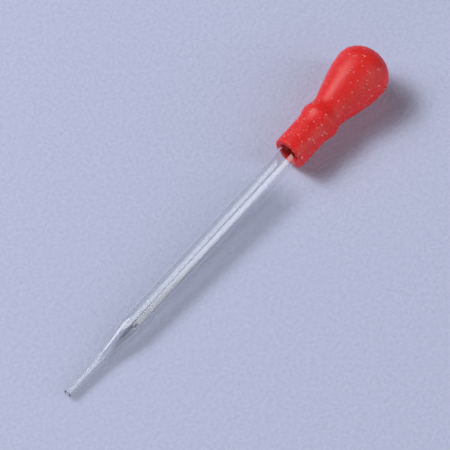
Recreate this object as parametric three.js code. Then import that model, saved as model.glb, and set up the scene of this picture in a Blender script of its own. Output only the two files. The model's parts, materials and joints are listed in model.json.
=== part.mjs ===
// Medicine dropper: a drawn glass pipette, and a one-piece rubber bulb pushed over its flared end.
// Millimetres, +Z up. The dropper lies on the plane z = 0 with its long axis in the XZ plane, its
// tip towards -X and its bulb towards +X. It touches the plane at two places, the barrel's lower
// end and the bulb's widest ring, so the axis climbs a few degrees from tip to bulb and the tip
// stands just clear. The origin is the middle of its footprint.
//
// Each piece is a body of revolution. Its outline is drawn in the XY plane as (radius, station),
// where station is the distance along the axis from the glass tip.

import * as THREE from 'three';

// Driving dimensions
const OVERALL_LENGTH = 150;
const GLASS_LENGTH = 121; // the rest of the overall length is the bulb's closed end
const MOUTH_STATION = 105.3; // where the bulb's open end stands on the glass

// Glass: a straight barrel, a drawn shoulder, a slender nozzle and a flared top
const BARREL_RADIUS = 3.55;
const BORE_RADIUS = 3.05;
const TIP_RADIUS = 1.18;
const TIP_BORE_RADIUS = 0.72;
const NOZZLE_LENGTH = 12.5;
const NOZZLE_RADIUS = 1.43; // outside, where the nozzle meets the shoulder
const NOZZLE_BORE_RADIUS = 0.95;
const SHOULDER_END = 30.5; // station where the barrel becomes straight
const FLARE_RADIUS = 4.25;
const FLARE_LENGTH = 3.4;
const FLARE_LIP = 0.45; // rounding of the rim, half its thickness

// Rubber bulb: sleeve, the ring that the glass flare raises, waist and pear
const GRIP_GAP = 0.3; // clearance between rubber and glass
const SLEEVE_RADIUS = 5.5;
const LIP_ROUNDING = 0.6;
const RING_START = 10.2; // distances from the mouth
const RING_PEAK = 15.4;
const RING_RADIUS = 6.3;
const WAIST = 19.2;
const WAIST_RADIUS = 5.6;
const WIDEST = 37;
const WIDEST_RADIUS = 9.1;
const WALL = 1.6;
const CROWN_WALL = 2.2; // at the closed end
const LEAN = 0.029; // sideways slope of the pear, which sits a little crooked on its waist

// Roundness
const SIDES = 32; // even, so that one flat side faces straight down
const CURVE_STEPS = 5;
const FLAT_TO_CORNER = Math.cos(Math.PI / SIDES);

// A bezier from the path's present point that leaves and arrives along the axis.
function ease(path, radius, station, leave, arrive) {
  const from = path.currentPoint.clone();
  const way = Math.sign(station - from.y);
  path.bezierCurveTo(
    from.x, from.y + way * leave,
    radius, station - way * arrive,
    radius, station,
  );
}

// The glass's wall, as one closed loop: up the outside from the tip, over the rim, down the bore.
function glassOutline() {
  const loop = new THREE.Path();
  const flareStart = GLASS_LENGTH - FLARE_LENGTH;
  const rimStation = GLASS_LENGTH - FLARE_LIP;
  const rimRadius = FLARE_RADIUS - FLARE_LIP;
  const rimBore = rimRadius - FLARE_LIP;
  loop.moveTo(TIP_RADIUS, 0);
  loop.lineTo(NOZZLE_RADIUS, NOZZLE_LENGTH);
  ease(loop, BARREL_RADIUS, SHOULDER_END, 7.8, 5.8);
  loop.lineTo(BARREL_RADIUS, flareStart);
  ease(loop, FLARE_RADIUS, rimStation, 1.4, 0.8);
  loop.quadraticCurveTo(FLARE_RADIUS, GLASS_LENGTH, rimRadius, GLASS_LENGTH);
  loop.quadraticCurveTo(rimBore, GLASS_LENGTH, rimBore, rimStation);
  ease(loop, BORE_RADIUS, flareStart, 0.6, 1.2);
  loop.lineTo(BORE_RADIUS, SHOULDER_END);
  ease(loop, NOZZLE_BORE_RADIUS, NOZZLE_LENGTH, 5.8, 7.8);
  loop.lineTo(TIP_BORE_RADIUS, 0);
  loop.lineTo(TIP_RADIUS, 0);
  return loop;
}

// The rubber's wall: from the cavity's end down the inside to the mouth, then up the outside.
function bulbOutline() {
  const wall = new THREE.Path();
  const at = (distance) => MOUTH_STATION + distance;
  const crown = OVERALL_LENGTH - at(WIDEST);
  const sleeveBore = BARREL_RADIUS + GRIP_GAP;
  const ringBore = FLARE_RADIUS + GRIP_GAP;
  const quarter = Math.PI / 2;

  wall.absellipse(0, at(WIDEST), WIDEST_RADIUS - WALL, crown - CROWN_WALL, quarter, 0, true);
  ease(wall, WAIST_RADIUS - WALL, at(WAIST), 7, 3);
  ease(wall, ringBore, GLASS_LENGTH + GRIP_GAP, 0.6, 0.4);
  wall.lineTo(ringBore, GLASS_LENGTH - FLARE_LIP);
  ease(wall, sleeveBore, GLASS_LENGTH - FLARE_LENGTH, 0.8, 1.4);
  wall.lineTo(sleeveBore, at(0));

  wall.lineTo(SLEEVE_RADIUS - LIP_ROUNDING, at(0));
  wall.quadraticCurveTo(SLEEVE_RADIUS, at(0), SLEEVE_RADIUS, at(LIP_ROUNDING));
  wall.lineTo(SLEEVE_RADIUS, at(RING_START));
  ease(wall, RING_RADIUS, at(RING_PEAK), 3, 1.2);
  ease(wall, WAIST_RADIUS, at(WAIST), 1.2, 1.5);
  ease(wall, WIDEST_RADIUS, at(WIDEST), 3, 7);
  wall.absellipse(0, at(WIDEST), WIDEST_RADIUS, crown, 0, quarter, false);
  return wall;
}

function outlinePoints(path) {
  const points = path.getPoints(CURVE_STEPS);
  for (const end of [points[0], points[points.length - 1]]) {
    if (Math.abs(end.x) < 1e-9) end.x = 0;
  }
  return points;
}

// Revolves an outline about the Y axis, then lays that axis along +X with a flat side facing down.
function revolve(path) {
  const halfSide = Math.PI / SIDES;
  const geometry = new THREE.LatheGeometry(outlinePoints(path), SIDES, halfSide);
  return geometry.rotateZ(-Math.PI / 2);
}

function leanPear(geometry) {
  const hinge = MOUTH_STATION + WAIST;
  const position = geometry.attributes.position;
  for (let i = 0; i < position.count; i += 1) {
    const beyond = Math.max(0, position.getX(i) - hinge);
    position.setY(i, position.getY(i) + LEAN * beyond);
  }
  return geometry;
}

function glassPipette() {
  const material = new THREE.MeshStandardMaterial({
    color: new THREE.Color(0.9, 0.93, 0.95), roughness: 0.05, metalness: 0,
  });
  const mesh = new THREE.Mesh(revolve(glassOutline()), material);
  mesh.name = 'glass_pipette';
  return mesh;
}

function rubberBulb() {
  const material = new THREE.MeshStandardMaterial({
    color: new THREE.Color(0.7, 0.045, 0.04), roughness: 0.55, metalness: 0,
  });
  const mesh = new THREE.Mesh(leanPear(revolve(bulbOutline())), material);
  mesh.name = 'rubber_bulb';
  return mesh;
}

// The angle at which a straight edge laid under the dropper touches both the glass and the bulb.
function restingClimb() {
  const glass = outlinePoints(glassOutline()).filter((p) => p.y < MOUTH_STATION);
  const bulb = outlinePoints(bulbOutline());
  const slopes = glass.map((g) => Math.max(
    ...bulb.map((b) => (b.x - g.x) * FLAT_TO_CORNER / (b.y - g.y)),
  ));
  return Math.atan(Math.min(...slopes));
}

function dropper() {
  const tilted = new THREE.Group();
  tilted.add(glassPipette(), rubberBulb());
  tilted.rotation.y = -restingClimb();

  const lying = new THREE.Group();
  lying.add(tilted);
  const box = new THREE.Box3().setFromObject(lying, true);
  const middle = box.getCenter(new THREE.Vector3());
  tilted.position.set(-middle.x, -middle.y, -box.min.z);
  return lying;
}

export default dropper();
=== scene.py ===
"""The looks of a medicine dropper: a clear drawn glass pipette and its red rubber squeeze bulb."""

import json
import math

import bmesh
import bpy
from mathutils import Matrix, Vector, noise


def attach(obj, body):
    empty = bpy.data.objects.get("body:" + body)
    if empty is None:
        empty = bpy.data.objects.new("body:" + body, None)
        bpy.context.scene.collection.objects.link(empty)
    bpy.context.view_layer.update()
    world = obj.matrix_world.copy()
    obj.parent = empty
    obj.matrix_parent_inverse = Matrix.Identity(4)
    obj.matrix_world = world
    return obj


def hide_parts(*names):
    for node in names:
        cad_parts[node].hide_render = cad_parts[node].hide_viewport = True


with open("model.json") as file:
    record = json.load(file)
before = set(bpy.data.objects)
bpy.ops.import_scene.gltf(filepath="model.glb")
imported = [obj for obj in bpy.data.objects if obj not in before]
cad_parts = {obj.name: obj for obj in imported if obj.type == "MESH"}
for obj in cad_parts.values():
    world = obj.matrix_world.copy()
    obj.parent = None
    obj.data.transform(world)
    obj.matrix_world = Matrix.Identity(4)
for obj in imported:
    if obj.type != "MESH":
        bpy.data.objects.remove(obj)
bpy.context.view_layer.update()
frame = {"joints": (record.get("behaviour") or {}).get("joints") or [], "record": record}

MM = 0.001

# Driving dimensions of the dropper, in millimetres along and about its axis, as in the CAD part
OVERALL_LENGTH = 150
GLASS_LENGTH = 121
MOUTH_STATION = 105.3
BARREL_RADIUS = 3.55
BORE_RADIUS = 3.05
TIP_RADIUS = 1.18
TIP_BORE_RADIUS = 0.72
TIP_MOUNT_RADIUS = 0.9  # the tip's mount point stands this far off the axis
NOZZLE_LENGTH = 12.5
NOZZLE_RADIUS = 1.43
NOZZLE_BORE_RADIUS = 0.95
SHOULDER_END = 30.5
FLARE_RADIUS = 4.25
FLARE_LENGTH = 3.4
FLARE_LIP = 0.45
SLEEVE_RADIUS = 5.5
RING_START = 10.2
RING_PEAK = 15.4
RING_RADIUS = 6.3
RIM_GAP = 0.3  # between the flare's rim and the rubber beyond it
WAIST = 19.2
WAIST_RADIUS = 5.6
WIDEST = 37
WIDEST_RADIUS = 9.1
WALL = 1.6
CROWN = OVERALL_LENGTH - MOUTH_STATION - WIDEST
CROWN_WALL = 2.2
LEAN = 0.029

# What only the smooth meshes have, or have finer or closer than the CAD part
TIP_ROUNDING = 0.12
SLEEVE_BORE = 3.62
FLARE_GAP = 0.05  # between the flare's side and the rubber round it
LIP_ROUNDING = 0.5
BORE_ROUNDING = 0.2
LIP_SLANT = 0.6  # the mouth is cut a little askew: its +Y side is this much shorter
LIP_SLANT_REACH = 8
LIP_SLANT_POWER = 1.5  # how fast the slant fades round the mouth
SWELL = 0.006  # unevenness of the rubber, as a share of its radius
SWELL_LENGTH, SWELL_WIDTH = 9, 7
MARK_FROM_MOUTH = 5.8  # a small raised ring on the sleeve
MARK_ANGLE = math.radians(112)  # round the axis, from +Y towards +Z
MARK_RADIUS = 1.5
MARK_WIDTH = 0.28
MARK_HEIGHT = 0.15

# How far each bend's tangents reach along the axis
NOZZLE_BEND, BARREL_BEND = 7.8, 5.8
WAIST_BEND, PEAR_BEND = 3, 7

# Fineness of the meshes
GLASS_SIDES = 160
BULB_SIDES = 192
NOZZLE_STEPS = 12
SHOULDER_STEPS = 40
BARREL_STEPS = 60
FLARE_STEPS = 14
QUARTER_ROUND = 0.5523  # handle length of a bezier that stands for a quarter of a unit circle

# How much lamplight passes each surface of the glass
SHADE_HEAD_ON = 0.87
SHADE_AT_EDGE = 0.60

# Stretches of the object's X, in metres
SHADE_ENDS = (0.016, 0.026)  # the glass's shade fades out before the sleeve
SPECKS_THIN_OUT = (0.030, 0.045)  # from the sleeve's mouth towards the ring

# Stage, in metres, and the strength of the light from all round
FLOOR_HALF = 12.0
LIGHT_DISTANCE = 2.2
ROOM_LIGHT = 0.03

# Camera, in degrees and millimetres
VIEW_AZIMUTH = -51.0
VIEW_ELEVATION = 57.5
VIEW_DISTANCE = 1308.7
VIEW_ANGLE = 6.0
AIM_RIGHT, AIM_UP = 0.09, 1.93


# ---------------------------------------------------------------- frame

def axis_frame():
    """The dropper's own frame, in metres: its tip at the origin, X along its axis and Y level."""
    along = Vector(frame["joints"][0]["axis"]).normalized()
    side = Vector((0, 1, 0))
    tip = next(m for m in frame["record"]["mounts"] if m["name"] == "tip_end")
    origin = Vector(tip["pos_m"]) - side * TIP_MOUNT_RADIUS * MM
    m = Matrix((along, side, along.cross(side))).transposed().to_4x4()
    m.translation = origin
    return m


AXIS_FRAME = axis_frame()


# ---------------------------------------------------------------- outlines

def bezier(a, b, c, d, steps):
    """Points of a cubic from a to d, without a."""
    out = []
    for i in range(1, steps + 1):
        t = i / steps
        w = ((1 - t) ** 3, 3 * t * (1 - t) ** 2, 3 * t * t * (1 - t), t ** 3)
        out.append(tuple(sum(k * p[j] for k, p in zip(w, (a, b, c, d))) for j in (0, 1)))
    return out


class Outline:
    """A profile of (station, radius) points, in millimetres."""

    def __init__(self, station, radius):
        self.points = [(station, radius)]

    def line(self, station, radius, steps=1):
        s, r = self.points[-1]
        for i in range(1, steps + 1):
            t = i / steps
            self.points.append((s + (station - s) * t, r + (radius - r) * t))

    def ease(self, station, radius, leave, arrive, steps=16):
        """A curve that leaves and arrives parallel to the axis."""
        s, r = self.points[-1]
        way = math.copysign(1, station - s)
        ends = ((s, r), (s + way * leave, r), (station - way * arrive, radius), (station, radius))
        self.points += bezier(*ends, steps)

    def round(self, corner, end, steps=8):
        """A quarter round from the last point to end, about the sharp corner it replaces."""
        start = self.points[-1]
        near = tuple(a + (c - a) * QUARTER_ROUND for a, c in zip(start, corner))
        far = tuple(b + (c - b) * QUARTER_ROUND for b, c in zip(end, corner))
        self.points += bezier(start, near, far, end, steps)


def glass_outline():
    """The glass's wall, as one closed loop: round the tip, up the outside, over the rim, down the bore."""
    o = Outline(TIP_ROUNDING, TIP_BORE_RADIUS)
    o.round((0, TIP_BORE_RADIUS), (0, TIP_BORE_RADIUS + TIP_ROUNDING), 4)
    o.line(0, TIP_RADIUS - TIP_ROUNDING)
    o.round((0, TIP_RADIUS), (TIP_ROUNDING, TIP_RADIUS), 4)
    o.line(NOZZLE_LENGTH, NOZZLE_RADIUS, NOZZLE_STEPS)
    o.ease(SHOULDER_END, BARREL_RADIUS, NOZZLE_BEND, BARREL_BEND, SHOULDER_STEPS)
    o.line(GLASS_LENGTH - FLARE_LENGTH, BARREL_RADIUS, BARREL_STEPS)
    rim = GLASS_LENGTH - FLARE_LIP
    middle = FLARE_RADIUS - FLARE_LIP
    o.ease(rim, FLARE_RADIUS, 1.4, 0.8, FLARE_STEPS)
    o.round((GLASS_LENGTH, FLARE_RADIUS), (GLASS_LENGTH, middle))
    o.round((GLASS_LENGTH, middle - FLARE_LIP), (rim, middle - FLARE_LIP))
    o.ease(GLASS_LENGTH - FLARE_LENGTH, BORE_RADIUS, 0.6, 1.2, FLARE_STEPS)
    o.line(SHOULDER_END, BORE_RADIUS, BARREL_STEPS)
    o.ease(NOZZLE_LENGTH, NOZZLE_BORE_RADIUS, BARREL_BEND, NOZZLE_BEND, SHOULDER_STEPS)
    o.line(TIP_ROUNDING, TIP_BORE_RADIUS, NOZZLE_STEPS)
    return o.points[:-1]


def bulb_cavity():
    """The inside of the rubber, from the closed end to the mouth's edge."""
    end = MOUTH_STATION + WIDEST + CROWN - CROWN_WALL
    widest = MOUTH_STATION + WIDEST
    inner = WIDEST_RADIUS - WALL
    o = Outline(end, 0)
    o.points += bezier(
        o.points[0],
        (end, inner * QUARTER_ROUND),
        (widest + (CROWN - CROWN_WALL) * QUARTER_ROUND, inner),
        (widest, inner), 16)
    o.ease(MOUTH_STATION + WAIST, WAIST_RADIUS - WALL, PEAR_BEND, WAIST_BEND, 20)
    o.ease(GLASS_LENGTH + RIM_GAP, FLARE_RADIUS + FLARE_GAP, 0.6, 0.4, 6)
    o.line(GLASS_LENGTH - FLARE_LIP, FLARE_RADIUS + FLARE_GAP, 2)
    o.ease(GLASS_LENGTH - FLARE_LENGTH, SLEEVE_BORE, 0.8, 1.4, 10)
    o.line(MOUTH_STATION + BORE_ROUNDING, SLEEVE_BORE, 12)
    o.round((MOUTH_STATION, SLEEVE_BORE), (MOUTH_STATION, SLEEVE_BORE + BORE_ROUNDING), 5)
    return o


def bulb_outline():
    """The rubber's wall: down the cavity to the mouth, then up the outside to the closed end."""
    m = MOUTH_STATION
    o = bulb_cavity()
    o.line(m, SLEEVE_RADIUS - LIP_ROUNDING, 4)
    o.round((m, SLEEVE_RADIUS), (m + LIP_ROUNDING, SLEEVE_RADIUS), 8)
    o.line(m + RING_START, SLEEVE_RADIUS, 64)
    o.ease(m + RING_PEAK, RING_RADIUS, 3, 1.2, 20)
    o.ease(m + WAIST, WAIST_RADIUS, 1.2, 1.5, 20)
    o.ease(m + WIDEST, WIDEST_RADIUS, WAIST_BEND, PEAR_BEND, 60)
    o.points += bezier(
        o.points[-1],
        (m + WIDEST + CROWN * QUARTER_ROUND, WIDEST_RADIUS),
        (OVERALL_LENGTH, WIDEST_RADIUS * QUARTER_ROUND),
        (OVERALL_LENGTH, 0), 40)
    return o.points


# ---------------------------------------------------------------- meshes

def revolve(name, outline, sides, place, closed):
    """A smooth body of revolution about the dropper's axis.

    place(s, r, angle) gives each point, in millimetres.
    """
    mesh = bpy.data.meshes.new(name)
    bm = bmesh.new()
    rings = []
    for s, r in outline:
        count = 1 if r == 0 else sides
        points = (Vector(place(s, r, math.tau * i / sides)) * MM for i in range(count))
        rings.append([bm.verts.new(AXIS_FRAME @ point) for point in points])
    pairs = list(zip(rings, rings[1:])) + ([(rings[-1], rings[0])] if closed else [])
    for a, b in pairs:
        for i in range(sides):
            j = (i + 1) % sides
            corners = [a[i % len(a)], a[j % len(a)], b[j % len(b)], b[i % len(b)]]
            face = bm.faces.new(list(dict.fromkeys(corners)))
            face.smooth = True
    bmesh.ops.recalc_face_normals(bm, faces=bm.faces)
    bm.to_mesh(mesh)
    bm.free()
    piece = bpy.data.objects.new(name, mesh)
    bpy.context.scene.collection.objects.link(piece)
    return piece


def on_axis(s, r, angle):
    return s, r * math.cos(angle), r * math.sin(angle)


def lean(s):
    """How far the pear, which sits a little crooked on its waist, stands off the axis."""
    return LEAN * max(0, s - MOUTH_STATION - WAIST)


def angle_between(a, b):
    """The shorter way round from b to a."""
    return (a - b + math.pi) % math.tau - math.pi


def ring_mark(s, across):
    """Height of the small raised ring on the sleeve, at a distance across its middle line."""
    off_ring = math.hypot(s - MOUTH_STATION - MARK_FROM_MOUTH, across) - MARK_RADIUS
    return MARK_HEIGHT * math.exp(-(off_ring / MARK_WIDTH) ** 2)


def rubber_point(s, r, angle):
    """The bulb's surface: a leaning pear and a slanted mouth, faintly uneven as moulded rubber is."""
    x, y, z = on_axis(s, r, angle)
    wave = noise.noise(Vector((s / SWELL_LENGTH, y / SWELL_WIDTH, z / SWELL_WIDTH)))
    swell = 1 + SWELL * wave
    if r > SLEEVE_RADIUS - LIP_ROUNDING:
        swell += ring_mark(s, r * angle_between(angle, MARK_ANGLE)) / r
    near_mouth = max(0, 1 - (s - MOUTH_STATION) / LIP_SLANT_REACH)
    shorter = LIP_SLANT * near_mouth * ((1 + math.cos(angle)) / 2) ** LIP_SLANT_POWER
    return x + shorter, y * swell + lean(s), z * swell


# ---------------------------------------------------------------- materials

class Nodes:
    """A material under construction."""

    def __init__(self, name):
        self.material = bpy.data.materials.new(name)
        self.material.use_nodes = True
        self.tree = self.material.node_tree
        self.shader = self.tree.nodes["Principled BSDF"]

    def add(self, kind, inputs=None, **settings):
        node = self.tree.nodes.new("ShaderNode" + kind)
        for key, value in settings.items():
            setattr(node, key, value)
        for key, value in (inputs or {}).items():
            if isinstance(value, bpy.types.NodeSocket):
                self.tree.links.new(value, node.inputs[key])
            else:
                node.inputs[key].default_value = value
        return node

    def link(self, socket, name):
        self.tree.links.new(socket, self.shader.inputs[name])

    def set(self, **values):
        for key, value in values.items():
            self.shader.inputs[key.replace("_", " ")].default_value = value


def ramp(nodes, socket, stops):
    """A colour ramp; stops are (position, colour or grey)."""
    node = nodes.add("ValToRGB", {"Fac": socket})
    elements = node.color_ramp.elements
    while len(elements) < len(stops):
        elements.new(0.5)
    for element, (position, colour) in zip(elements, stops):
        rgb = (colour,) * 3 if isinstance(colour, (int, float)) else colour
        element.position = position
        element.color = (*rgb, 1)
    return node.outputs["Color"]


def along_x(n, place):
    return n.add("SeparateXYZ", {"Vector": place}).outputs["X"]


def over_stretch(n, place, stretch, start=0, end=1):
    """A value that goes from start to end over a stretch of the object's X."""
    span = {"Value": along_x(n, place), "From Min": stretch[0], "From Max": stretch[1]}
    return n.add("MapRange", {**span, "To Min": start, "To Max": end}).outputs["Result"]


def mixed(n, share, a, b):
    return n.add("Mix", {"Factor": share, "A": a, "B": b}, data_type="RGBA").outputs["Result"]


def speckle(n, place, scale, size, share):
    """White dots of about size (in cells) in a share of the cells of a Voronoi pattern."""
    cells = n.add("TexVoronoi", {"Vector": place, "Scale": scale, "Randomness": 1})
    dot = ramp(n, cells.outputs["Distance"], [(size * 0.6, 1), (size, 0)])
    lot = n.add("SeparateColor", {"Color": cells.outputs["Color"]}).outputs["Red"]
    chosen = n.add("Math", {0: lot, 1: share}, operation="LESS_THAN").outputs[0]
    return n.add("Math", {0: dot, 1: chosen}, operation="MULTIPLY").outputs[0]


def rubber_material():
    """Satin red rubber, faintly cloudy and grainy, with pale specks of dust."""
    n = Nodes("red_rubber")
    place = n.add("TexCoord").outputs["Object"]
    cloud = n.add("TexNoise", {"Vector": place, "Scale": 160, "Detail": 3}).outputs["Fac"]
    grain = n.add("TexNoise", {"Vector": place, "Scale": 2600, "Detail": 2}).outputs["Fac"]
    red = ramp(n, cloud, [(0.3, (0.80, 0.018, 0.018)), (0.7, (0.87, 0.030, 0.028))])
    crowd = over_stretch(n, place, SPECKS_THIN_OUT, 0.65, 0.40)
    large = speckle(n, place, 620, 0.19, crowd)
    small = speckle(n, place, 900, 0.2, crowd)
    speck = n.add("Math", {0: large, 1: small}, operation="MAXIMUM").outputs[0]
    n.link(mixed(n, speck, red, (1.0, 0.50, 0.46, 1)), "Base Color")
    n.link(ramp(n, grain, [(0.3, 0.40), (0.7, 0.50)]), "Roughness")
    bump = n.add("Bump", {"Height": grain, "Strength": 0.06, "Distance": 0.0002})
    raised = n.add("Bump", {"Height": speck, "Strength": 0.4, "Distance": 0.0001,
                            "Normal": bump.outputs["Normal"]})
    n.link(raised.outputs["Normal"], "Normal")
    n.set(IOR=1.42, Subsurface_Weight=0.5, Subsurface_Radius=(1, 0.06, 0.05), Subsurface_Scale=0.0035)
    return n.material


def glass_material():
    """Clear glass, its tint drawn out into faint streaks along the tube."""
    n = Nodes("clear_glass")
    place = n.add("TexCoord").outputs["Object"]
    stretched = n.add("Mapping", {"Vector": place, "Scale": (0.02, 1, 1)}).outputs["Vector"]
    draw = n.add("TexNoise", {"Vector": stretched, "Scale": 500, "Detail": 1}).outputs["Fac"]
    n.link(ramp(n, draw, [(0.3, (0.975, 0.985, 0.985)), (0.7, (0.985, 0.995, 0.99))]), "Base Color")
    n.set(Transmission_Weight=1.0, Roughness=0.0, IOR=1.5)
    let_lamps_through(n, place)
    return n.material


def let_lamps_through(n, place):
    """Lamps shine through the glass in a straight line, dimmed more where they meet it at a slant.

    Just before the sleeve and inside it nothing is dimmed, as the light there has many ways in.
    """
    slant = n.add("LayerWeight", {"Blend": 0.5}).outputs["Facing"]
    dimmed = ramp(n, slant, [(0.0, SHADE_HEAD_ON), (1.0, SHADE_AT_EDGE)])
    tint = mixed(n, over_stretch(n, place, SHADE_ENDS), dimmed, (1, 1, 1, 1))
    clear = n.add("BsdfTransparent", {"Color": tint}).outputs["BSDF"]
    lamp_ray = n.add("LightPath").outputs["Is Shadow Ray"]
    both = n.add("MixShader", {0: lamp_ray, 1: n.shader.outputs["BSDF"], 2: clear}).outputs["Shader"]
    n.tree.links.new(both, n.tree.nodes["Material Output"].inputs["Surface"])


def floor_material():
    n = Nodes("floor_grey")
    place = n.add("TexCoord").outputs["Object"]
    grain = n.add("TexNoise", {"Vector": place, "Scale": 900, "Detail": 3}).outputs["Fac"]
    n.link(ramp(n, grain, [(0.35, (0.520, 0.565, 0.775)), (0.65, (0.585, 0.630, 0.855))]), "Base Color")
    bump = n.add("Bump", {"Height": grain, "Strength": 0.5, "Distance": 0.0003})
    n.link(bump.outputs["Normal"], "Normal")
    n.set(Roughness=0.8)
    return n.material


# ---------------------------------------------------------------- pieces

def glass_tube():
    tube = revolve("glass_tube", glass_outline(), GLASS_SIDES, on_axis, closed=True)
    tube.data.materials.append(glass_material())
    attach(tube, "glass")
    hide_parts("glass_pipette")


def squeeze_bulb():
    bulb = revolve("squeeze_bulb", bulb_outline(), BULB_SIDES, rubber_point, closed=False)
    bulb.data.materials.append(rubber_material())
    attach(bulb, "bulb")
    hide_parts("rubber_bulb")


# ---------------------------------------------------------------- stage

def floor():
    mesh = bpy.data.meshes.new("floor")
    quarters = [(-1, -1), (1, -1), (1, 1), (-1, 1)]
    corners = [(x * FLOOR_HALF, y * FLOOR_HALF, 0) for x, y in quarters]
    mesh.from_pydata(corners, [], [(0, 1, 2, 3)])
    plane = bpy.data.objects.new("floor", mesh)
    bpy.context.scene.collection.objects.link(plane)
    mesh.materials.append(floor_material())


def softbox(name, azimuth, elevation, wide, tall, radiance):
    """A soft rectangular light facing the object; all its measures are degrees, but radiance."""
    a, e = math.radians(azimuth), math.radians(elevation)
    towards = Vector((math.cos(e) * math.cos(a), math.cos(e) * math.sin(a), math.sin(e)))
    light = bpy.data.lights.new(name, "AREA")
    light.shape = "RECTANGLE"
    light.size = 2 * LIGHT_DISTANCE * math.tan(math.radians(wide / 2))
    light.size_y = 2 * LIGHT_DISTANCE * math.tan(math.radians(tall / 2))
    light.energy = radiance * math.pi * light.size * light.size_y
    lamp = bpy.data.objects.new(name, light)
    bpy.context.scene.collection.objects.link(lamp)
    lamp.location = towards * LIGHT_DISTANCE
    lamp.rotation_euler = (-towards).to_track_quat("-Z", "Y").to_euler()


def room():
    world = bpy.data.worlds.new("room")
    bpy.context.scene.world = world
    world.use_nodes = True
    background = world.node_tree.nodes["Background"]
    background.inputs["Color"].default_value = (0.95, 0.97, 1, 1)
    background.inputs["Strength"].default_value = ROOM_LIGHT


def lights():
    """The key makes the shadows. The glass mirrors the others, and the low ones light the dark side."""
    softbox("key", 106, 47, 50, 30, 3.8)
    softbox("key_core", 106, 47, 20, 14, 12.0)
    softbox("strip", -65, 38, 13, 42, 3.4)
    softbox("side", -98, 22, 36, 32, 0.9)
    softbox("low_side", -58, 9, 44, 16, 1.9)
    softbox("low_front", 205, 10, 50, 18, 2.1)


def camera():
    a, e = math.radians(VIEW_AZIMUTH), math.radians(VIEW_ELEVATION)
    back = Vector((math.sin(a) * math.cos(e), -math.cos(a) * math.cos(e), math.sin(e)))
    right = Vector((math.cos(a), math.sin(a), 0))
    up = back.cross(right)
    aim = (right * AIM_RIGHT + up * AIM_UP) * MM
    data = bpy.data.cameras.new("camera")
    data.angle = math.radians(VIEW_ANGLE)
    data.clip_start, data.clip_end = 0.01, 20
    cam = bpy.data.objects.new("camera", data)
    bpy.context.scene.collection.objects.link(cam)
    turn = Matrix((right, up, back)).transposed().to_4x4()
    cam.matrix_world = Matrix.Translation(aim + back * VIEW_DISTANCE * MM) @ turn
    bpy.context.scene.camera = cam
    bpy.context.scene.view_settings.view_transform = "Standard"


def light_transport():
    """No caustics, as let_lamps_through stands for them, and a denoiser that keeps the glass sharp."""
    cycles = bpy.context.scene.cycles
    cycles.caustics_refractive = False
    cycles.caustics_reflective = False
    cycles.denoising_input_passes = "RGB"
    cycles.sampling_pattern = "TABULATED_SOBOL"


camera()
floor()
room()
lights()
light_transport()
glass_tube()
squeeze_bulb()
